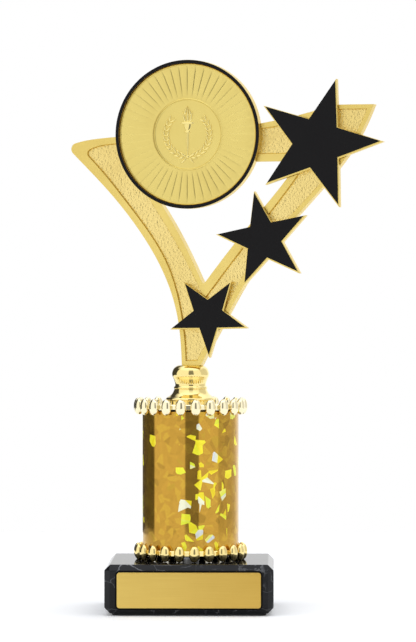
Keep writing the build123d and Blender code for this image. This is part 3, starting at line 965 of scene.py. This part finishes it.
@dataclass
class Disc:
    """The holder, its black trim and the struck centre disc, with a torch and a wreath on it.

    Attributes:
        finishes: The trophy's materials.
        cup_edge: How much the holder's edges are rounded.
        grooves: The grooves between the rays.
        steps_per_groove: The faces from one groove to the next.
        groove_depth: How deep they are.
        ray_crown: How far the middle of a ray stands up.
        groove_from: The radius where they start.
        groove_to: The radius where they end.
        medal_field: The height of the medal's floor over the disc's middle plane.
        wreath_radius: The radius of the wreath's branches.
        leaves: The pairs of leaves on each branch.
        film_thickness: The trim's thickness.
    """

    finishes: Finishes
    cup_edge: float = 0.2 * MM
    grooves: int = 48
    steps_per_groove: int = 12
    groove_depth: float = 0.07 * MM
    ray_crown: float = 0.04 * MM
    groove_from: float = 13.5 * MM
    groove_to: float = 24.0 * MM
    medal_field: float = 0.09 * MM
    wreath_radius: float = 7.9 * MM
    leaves: int = 10
    film_thickness: float = 0.2 * MM

    def build(self) -> None:
        """Makes the holder, the trim and the disc."""
        holder = copy_of_node("disc_holder", "holder_cup")
        round_edges(holder, self.cup_edge, 2, 40.0)
        hand_over(holder, self.finishes.gold[Metalwork.SATIN], FIGURE, "satin_gold", "disc_holder")
        trim = self.trim()
        hand_over(trim, self.finishes.film, FIGURE, "black_film", "holder_trim")
        dress(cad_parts["disc_tape"], self.finishes.tape)
        disc = self.blank()
        self.press_rays(disc)
        self.hang(disc)
        smooth(disc, 32.0)
        hand_over(disc, self.finishes.gold[Metalwork.STRUCK], FIGURE, "disc_metal", "centre_disc")
        motif = joined("medal_motif", [*self.torch(), *self.wreath(), *self.ribbons()])
        self.hang(motif)
        smooth(motif, 50.0)
        hand_over(motif, self.finishes.gold[Metalwork.BURNISHED], FIGURE, "disc_metal", "centre_disc")

    def trim(self) -> bpy.types.Object:
        """Lays the black film over the holder's rim, with its two edges rounded."""
        profile = [(25.0, 0.0), (25.0, 0.14), (25.05, 0.2), (26.07, 0.2), (26.15, 0.14), (26.15, 0.0),
                   (25.0, 0.0)]
        film = lathe("rim_film", [(r * MM, h * MM) for r, h in profile], 192)
        self.hang(film, "holder_trim", self.film_thickness / 2)
        smooth(film, 35.0)
        return film

    def hang(self, piece: bpy.types.Object, node: str = "centre_disc", back: float = 0.0) -> None:
        """Stands a piece up where a CAD node is.

        Args:
            piece: The piece, made flat about the origin.
            node: The node.
            back: How far behind the node's middle the piece's zero height goes.
        """
        low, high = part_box(node)
        place = figure_matrix()
        place.translation = (Vector(low) + Vector(high)) / 2 - place.to_3x3() @ Vector((0.0, 0.0, back))
        apply_place(piece, place)

    def blank(self) -> bpy.types.Object:
        """Turns the disc, with its raised edge and the raised ring round the medal."""
        profile = [(0.0, -0.55), (24.6, -0.55), (24.95, -0.30), (24.95, 0.20), (24.82, 0.42),
                   (24.66, 0.53), (24.50, 0.48), (24.38, 0.30), (24.2, 0.25), (23.9, 0.25), (21.5, 0.25),
                   (19.0, 0.25), (16.5, 0.25), (14.0, 0.25), (13.2, 0.25), (12.78, 0.28), (12.62, 0.48),
                   (12.46, 0.55), (12.28, 0.49), (12.12, 0.22), (11.95, 0.1), (11.75, 0.08), (8.0, 0.1),
                   (4.0, 0.12), (0.0, 0.13)]
        return lathe("struck_disc", [(r * MM, h * MM) for r, h in profile],
                     self.grooves * self.steps_per_groove)

    def steps_past_groove(self, spot: Vector) -> Optional[int]:
        """Counts the steps from the groove before a place on the disc's face; None off the rays."""
        if spot.z <= 0.0 or not self.groove_from < hypot(spot.x, spot.y) < self.groove_to:
            return None
        step = tau / (self.grooves * self.steps_per_groove)
        return round(atan2(spot.y, spot.x) / step) % self.steps_per_groove

    def press_rays(self, disc: bpy.types.Object) -> None:
        """Presses a fine groove between every two rays and crowns each ray a little."""
        for phase in range(self.steps_per_groove):
            select_where(disc, "VERT", lambda corner: self.steps_past_groove(corner.co) == phase)
            crown = self.ray_crown * sin(pi * phase / self.steps_per_groove)
            lift = crown if phase else -self.groove_depth
            bpy.ops.transform.translate(value=(0.0, 0.0, lift))
            bpy.ops.object.mode_set(mode="OBJECT")

    def pebble(self, name: str, size: tuple[float, float, float], place: tuple[float, float],
               turn: float = 0.0, taper: float = 0.0) -> bpy.types.Object:
        """A low rounded lump on the medal.

        Args:
            name: Its name.
            size: Its half length, half width and half height, in millimetres.
            place: Where its middle is, across and up, in millimetres.
            turn: The angle of its length from across.
            taper: How much of its width is lost towards its tip.

        Returns:
            The lump, its place in its mesh.
        """
        bpy.ops.object.select_all(action="DESELECT")
        bpy.ops.mesh.primitive_uv_sphere_add(segments=16, ring_count=10, radius=1.0)
        lump = added(name)
        for corner in lump.data.vertices:
            x, y, z = corner.co
            width = 1.0 - taper * (x + 1.0) / 2
            corner.co = (x * size[0] * MM, y * width * size[1] * MM, z * size[2] * MM)
        shift = Matrix.Translation((place[0] * MM, place[1] * MM, self.medal_field))
        apply_place(lump, shift @ Matrix.Rotation(turn, 4, "Z"))
        return lump

    def torch(self) -> list[bpy.types.Object]:
        """The torch: a tapered handle, a cup with a lip and a flame of five tongues."""
        lumps = [
            self.pebble("torch_handle", (5.6, 0.75, 0.42), (0.0, -3.4), -pi / 2, 0.5),
            self.pebble("torch_cup", (1.9, 1.9, 0.42), (0.0, 2.6), -pi / 2, 0.6),
            self.pebble("torch_lip", (2.6, 0.6, 0.44), (0.0, 4.0)),
            self.pebble("torch_collar", (1.3, 0.45, 0.44), (0.0, 0.9)),
        ]
        for x, y, lean, length in ((0.0, 7.2, 0.0, 2.9), (-1.35, 6.2, 0.25, 2.0), (1.35, 6.3, -0.28, 2.1),
                                   (-0.7, 8.4, -0.3, 1.7), (0.8, 8.0, 0.32, 1.6)):
            lumps.append(self.pebble("torch_flame", (length, 0.75, 0.42), (x, y), pi / 2 + lean, 0.8))
        return lumps

    def wreath(self) -> list[bpy.types.Object]:
        """Two laurel branches, with leaves in pairs and berries between them."""
        lumps = []
        circle = self.wreath_radius / MM
        for side in (-1, 1):
            for k in range(self.leaves):
                along = -pi / 2 + side * (0.28 + 0.225 * k)
                course = along + side * pi / 2
                for reach, splay in ((0.75, -0.42), (-0.75, 0.42)):
                    radius = circle + reach
                    place = (radius * cos(along), radius * sin(along))
                    lumps.append(self.pebble("leaf", (1.25, 0.58, 0.42), place, course + side * splay, 0.5))
                berry = along + side * 0.11
                lumps.append(self.pebble("berry", (0.34, 0.34, 0.34),
                                         (circle * cos(berry), circle * sin(berry))))
        return lumps

    def ribbons(self) -> list[bpy.types.Object]:
        """The bow that ties the branches: a knot, two loops and two tails."""
        circle = self.wreath_radius / MM
        return [
            self.pebble("knot", (0.7, 0.6, 0.38), (0.0, -circle)),
            self.pebble("loop", (1.1, 0.5, 0.34), (-1.4, 0.5 - circle), pi - 0.4, 0.2),
            self.pebble("loop", (1.1, 0.5, 0.34), (1.4, 0.5 - circle), 0.4, 0.2),
            self.pebble("tail", (1.5, 0.42, 0.32), (-1.5, -1.4 - circle), pi + 0.75, 0.1),
            self.pebble("tail", (1.5, 0.42, 0.32), (1.5, -1.4 - circle), -0.75, 0.1),
        ]


# ---- the studio ----------------------------------------------------------------------------------
@dataclass
class Studio:
    """A pale floor, a soft light all round, and the camera.

    Attributes:
        distance: How far the camera is from the rod's axis.
        lens_height: How high it is.
        aim_right: How far to the right of the axis it stands.
        azimuth: How far round to one side it stands.
        focal_length: Its lens, in millimetres.
        tip: How far it is tipped down.
        floor_radius: The floor's radius.
        bands: The tent's brightness all the way round, as (place, level): 0 and 1 are straight behind
            the trophy, 0.25 is on its left, 0.5 at the camera and 0.75 on its right.
        top_light: The colour of the light overhead.
    """

    distance: float = 1.5
    lens_height: float = 126.95 * MM
    aim_right: float = 6.15 * MM
    azimuth: float = radians(1.0)
    focal_length: float = 238.262
    tip: float = radians(0.9573)
    floor_radius: float = 0.42
    bands: tuple[tuple[float, float], ...] = (
        (0.0, 0.86), (0.035, 0.86), (0.050, 0.06), (0.228, 0.06), (0.242, 1.12), (0.466, 1.12),
        (0.470, 0.27), (0.556, 0.27), (0.560, 1.10), (0.695, 1.10), (0.700, 0.78), (0.86, 0.80),
        (0.90, 1.20), (0.965, 1.20), (1.0, 0.86))
    top_light: tuple[float, float, float] = (1.48, 1.53, 1.62)

    def build(self) -> None:
        """Makes the floor, the light and the camera."""
        self.floor()
        self.light()
        self.camera()

    def floor(self) -> None:
        """Lays a round pale floor, with its edge rounded over."""
        bpy.ops.object.select_all(action="DESELECT")
        bpy.ops.mesh.primitive_cylinder_add(vertices=128, radius=self.floor_radius, depth=0.02,
                                            location=(0.0, 0.0, -0.01))
        floor = added("studio_floor")
        apply_place(floor)
        round_edges(floor, 0.004, 4)
        material = bpy.data.materials.new("studio_white")
        material.use_nodes = True
        g = Graph(material.node_tree)
        shader = material.node_tree.nodes["Principled BSDF"]
        mottle = g.add("TexNoise", {"Vector": g.add("TexCoord").outputs["Object"], "Scale": 3.0})
        g.tree.links.new(g.mix(mottle.outputs["Fac"], (0.95, 0.95, 0.95), (0.93, 0.93, 0.93)),
                         shader.inputs["Base Color"])
        shader.inputs["Roughness"].default_value = 0.9
        shader.inputs["Emission Color"].default_value = (1.0, 1.0, 1.0, 1.0)
        shader.inputs["Emission Strength"].default_value = 0.10
        dress(floor, material)

    def light(self) -> None:
        """Sets the soft tent of light, with a gap where the camera looks in and a dark rear left."""
        scene = bpy.context.scene
        scene.view_settings.view_transform = "Standard"
        world = bpy.data.worlds.new("light_tent")
        scene.world = world
        world.use_nodes = True
        world.node_tree.nodes.clear()
        g = Graph(world.node_tree)
        way = g.add("SeparateXYZ", {0: g.add("TexCoord").outputs["Generated"]})
        back = g.math("MULTIPLY", way.outputs["Y"], -1.0)
        angle = g.math("ARCTAN2", way.outputs["X"], back)
        turn = g.span(angle, -pi, pi)
        bands = g.ramp(turn, [(place, (level, level, level)) for place, level in self.bands])
        overhead = g.span(way.outputs["Z"], 0.62, 0.85)
        tent = g.mix(overhead, bands, self.top_light)
        seen = g.add("LightPath").outputs["Is Camera Ray"]
        colour = g.mix(seen, tent, (1.0, 1.0, 1.0))
        shader = g.add("Background", {"Color": colour, "Strength": 1.0})
        g.show(shader, "OutputWorld")

    def camera(self) -> None:
        """Stands the camera level with the middle of the trophy and tips it down a little."""
        right = Vector((cos(self.azimuth), sin(self.azimuth), 0.0))
        ahead = Vector((-sin(self.azimuth), cos(self.azimuth), 0.0))
        data = bpy.data.cameras.new("studio_camera")
        data.sensor_fit = "AUTO"
        data.sensor_width = 36.0
        data.lens = self.focal_length
        data.clip_start = 0.05
        data.clip_end = 50.0
        camera = bpy.data.objects.new("studio_camera", data)
        bpy.context.scene.collection.objects.link(camera)
        camera.location = right * self.aim_right - ahead * self.distance
        camera.location.z = self.lens_height
        camera.rotation_euler = (pi / 2 - self.tip, 0.0, self.azimuth)
        bpy.context.scene.camera = camera


def main() -> None:
    """Builds the trophy's sub-assemblies in order, then the studio."""
    logging.basicConfig(level=logging.INFO, format="%(name)s: %(message)s")
    finishes = Finishes()
    for part in (Base(finishes), Column(finishes), Neck(finishes), Triangle(finishes), Stars(finishes),
                 Disc(finishes), Studio()):
        part.build()
        log.info("%s done", type(part).__name__)


if __name__ == "__main__":
    main()
